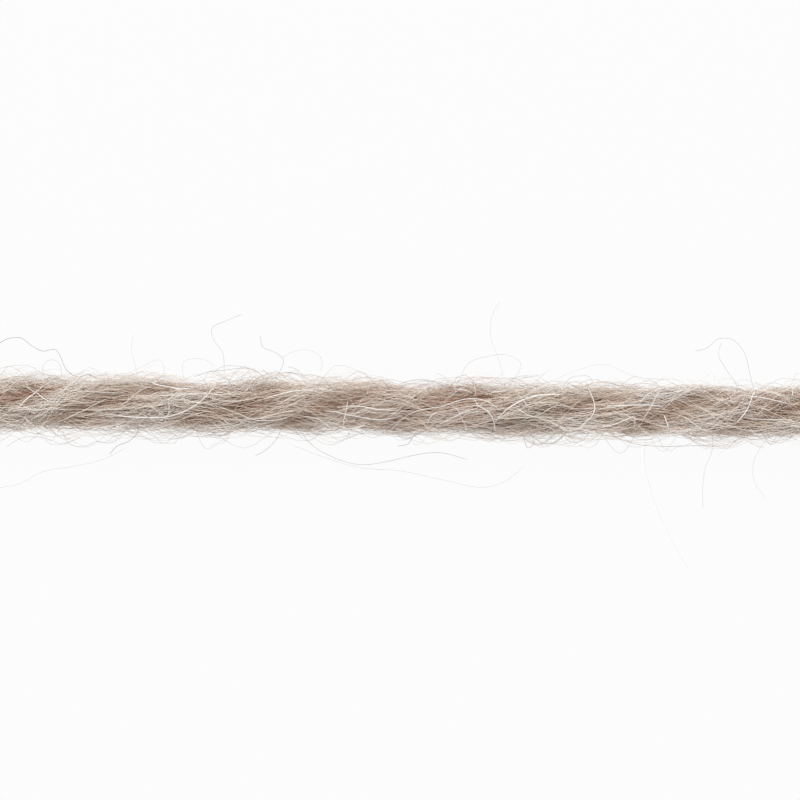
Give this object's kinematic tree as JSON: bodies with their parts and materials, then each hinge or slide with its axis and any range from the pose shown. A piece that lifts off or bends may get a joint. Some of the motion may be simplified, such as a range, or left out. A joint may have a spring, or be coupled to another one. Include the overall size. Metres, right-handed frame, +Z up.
{
  "type": "cut length of three-ply knitting yarn",
  "caption": "Straight cut length of soft plied wool knitting yarn, singles twisted together, with loose hairs standing off it.",
  "frame": {"origin": "under the middle of the strand, on the surface that it lies on", "axes": "+X along the strand, +Y across it, +Z up from the surface"},
  "size_m": [0.064, 0.004, 0.0038],
  "materials": {
    "wool_a": "undyed greige wool, matt and hairy",
    "wool_b": "undyed greige wool with brown fibres, matt and hairy",
    "wool_c": "undyed pale greige wool, matt and hairy"
  },
  "bodies": {
    "root": {"ply_a": "wool_a", "ply_b": "wool_b", "ply_c": "wool_c"}
  },
  "joints": []
}
